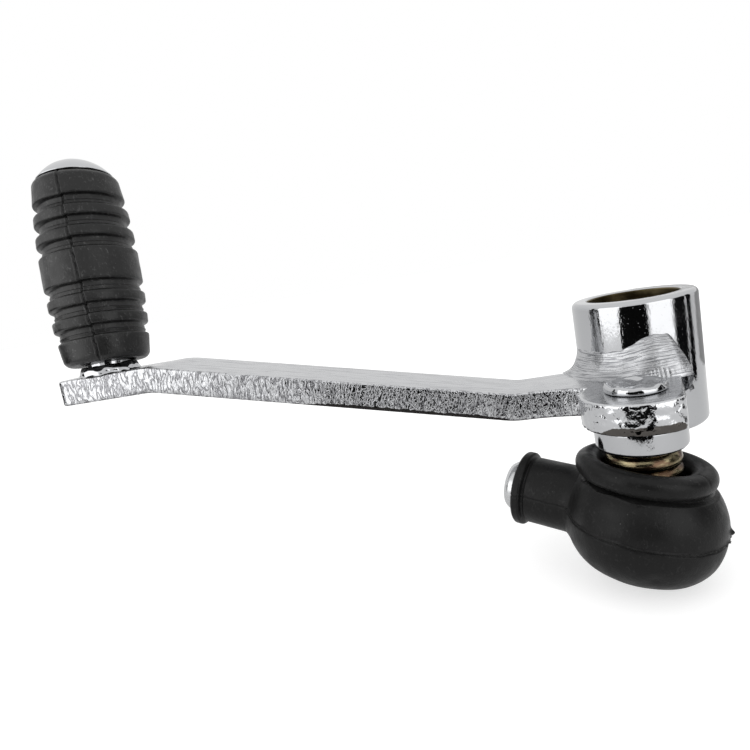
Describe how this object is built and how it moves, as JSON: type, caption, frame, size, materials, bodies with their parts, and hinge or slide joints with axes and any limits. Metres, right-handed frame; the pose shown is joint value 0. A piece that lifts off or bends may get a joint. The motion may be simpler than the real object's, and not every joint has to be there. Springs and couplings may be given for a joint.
{
  "type": "gear shift pedal",
  "caption": "Foot lever for changing gear on a motorbike: bent chromed arm with a pivot tube, a ribbed rubber toe peg and a booted ball joint for the link rod.",
  "frame": {"origin": "middle of the pivot tube's bore, on its axis", "axes": "+Z along the pivot tube, towards the side the toe peg stands on; -X along the arm to the toe peg; -Y towards the lug with the ball joint"},
  "size_m": [0.1493, 0.05, 0.11],
  "materials": {
    "chrome": "polished bright plating on the tube, the collar and the peg's head",
    "rough_chrome": "bright plating over blanked edges and brushed faces",
    "weld_chrome": "plating over a rippled weld",
    "rubber": "black moulded rubber, semi-matte, with mould seams",
    "bronzed_steel": "turned steel with a worn yellowish coating",
    "forged_steel": "plain zinc-coated steel",
    "nylon": "natural nylon bearing seat"
  },
  "bodies": {
    "lever": {"pivot_tube": "chrome", "arm_plate": "rough_chrome", "tube_weld": "weld_chrome", "toe_peg": "chrome", "peg_weld": "weld_chrome", "toe_sleeve": "rubber", "ball_stud": "bronzed_steel", "stud_collar": "chrome"},
    "swivel": {"seat_upper": "nylon"},
    "lip": {"boot_lip": "rubber"},
    "socket": {"seat_lower": "nylon", "ball_socket": "forged_steel", "socket_cap": "forged_steel", "dust_boot": "rubber"}
  },
  "joints": [
    {"name": "socket_spin", "type": "hinge", "parent": "lever", "child": "swivel", "pos_m": [-0.0069, -0.0226, -0.0276], "axis": [0, 0, 1], "range_deg": [-20, 160]},
    {"name": "socket_roll", "type": "hinge", "parent": "swivel", "child": "lip", "pos_m": [-0.0069, -0.0226, -0.0276], "axis": [-0.8766, 0.4467, 0.1788], "range_deg": [-3, 3]},
    {"name": "socket_tilt", "type": "hinge", "parent": "lip", "child": "socket", "pos_m": [-0.0069, -0.0226, -0.0276], "axis": [-0.4334, -0.8945, 0.1097], "range_deg": [-2, 22]}
  ]
}
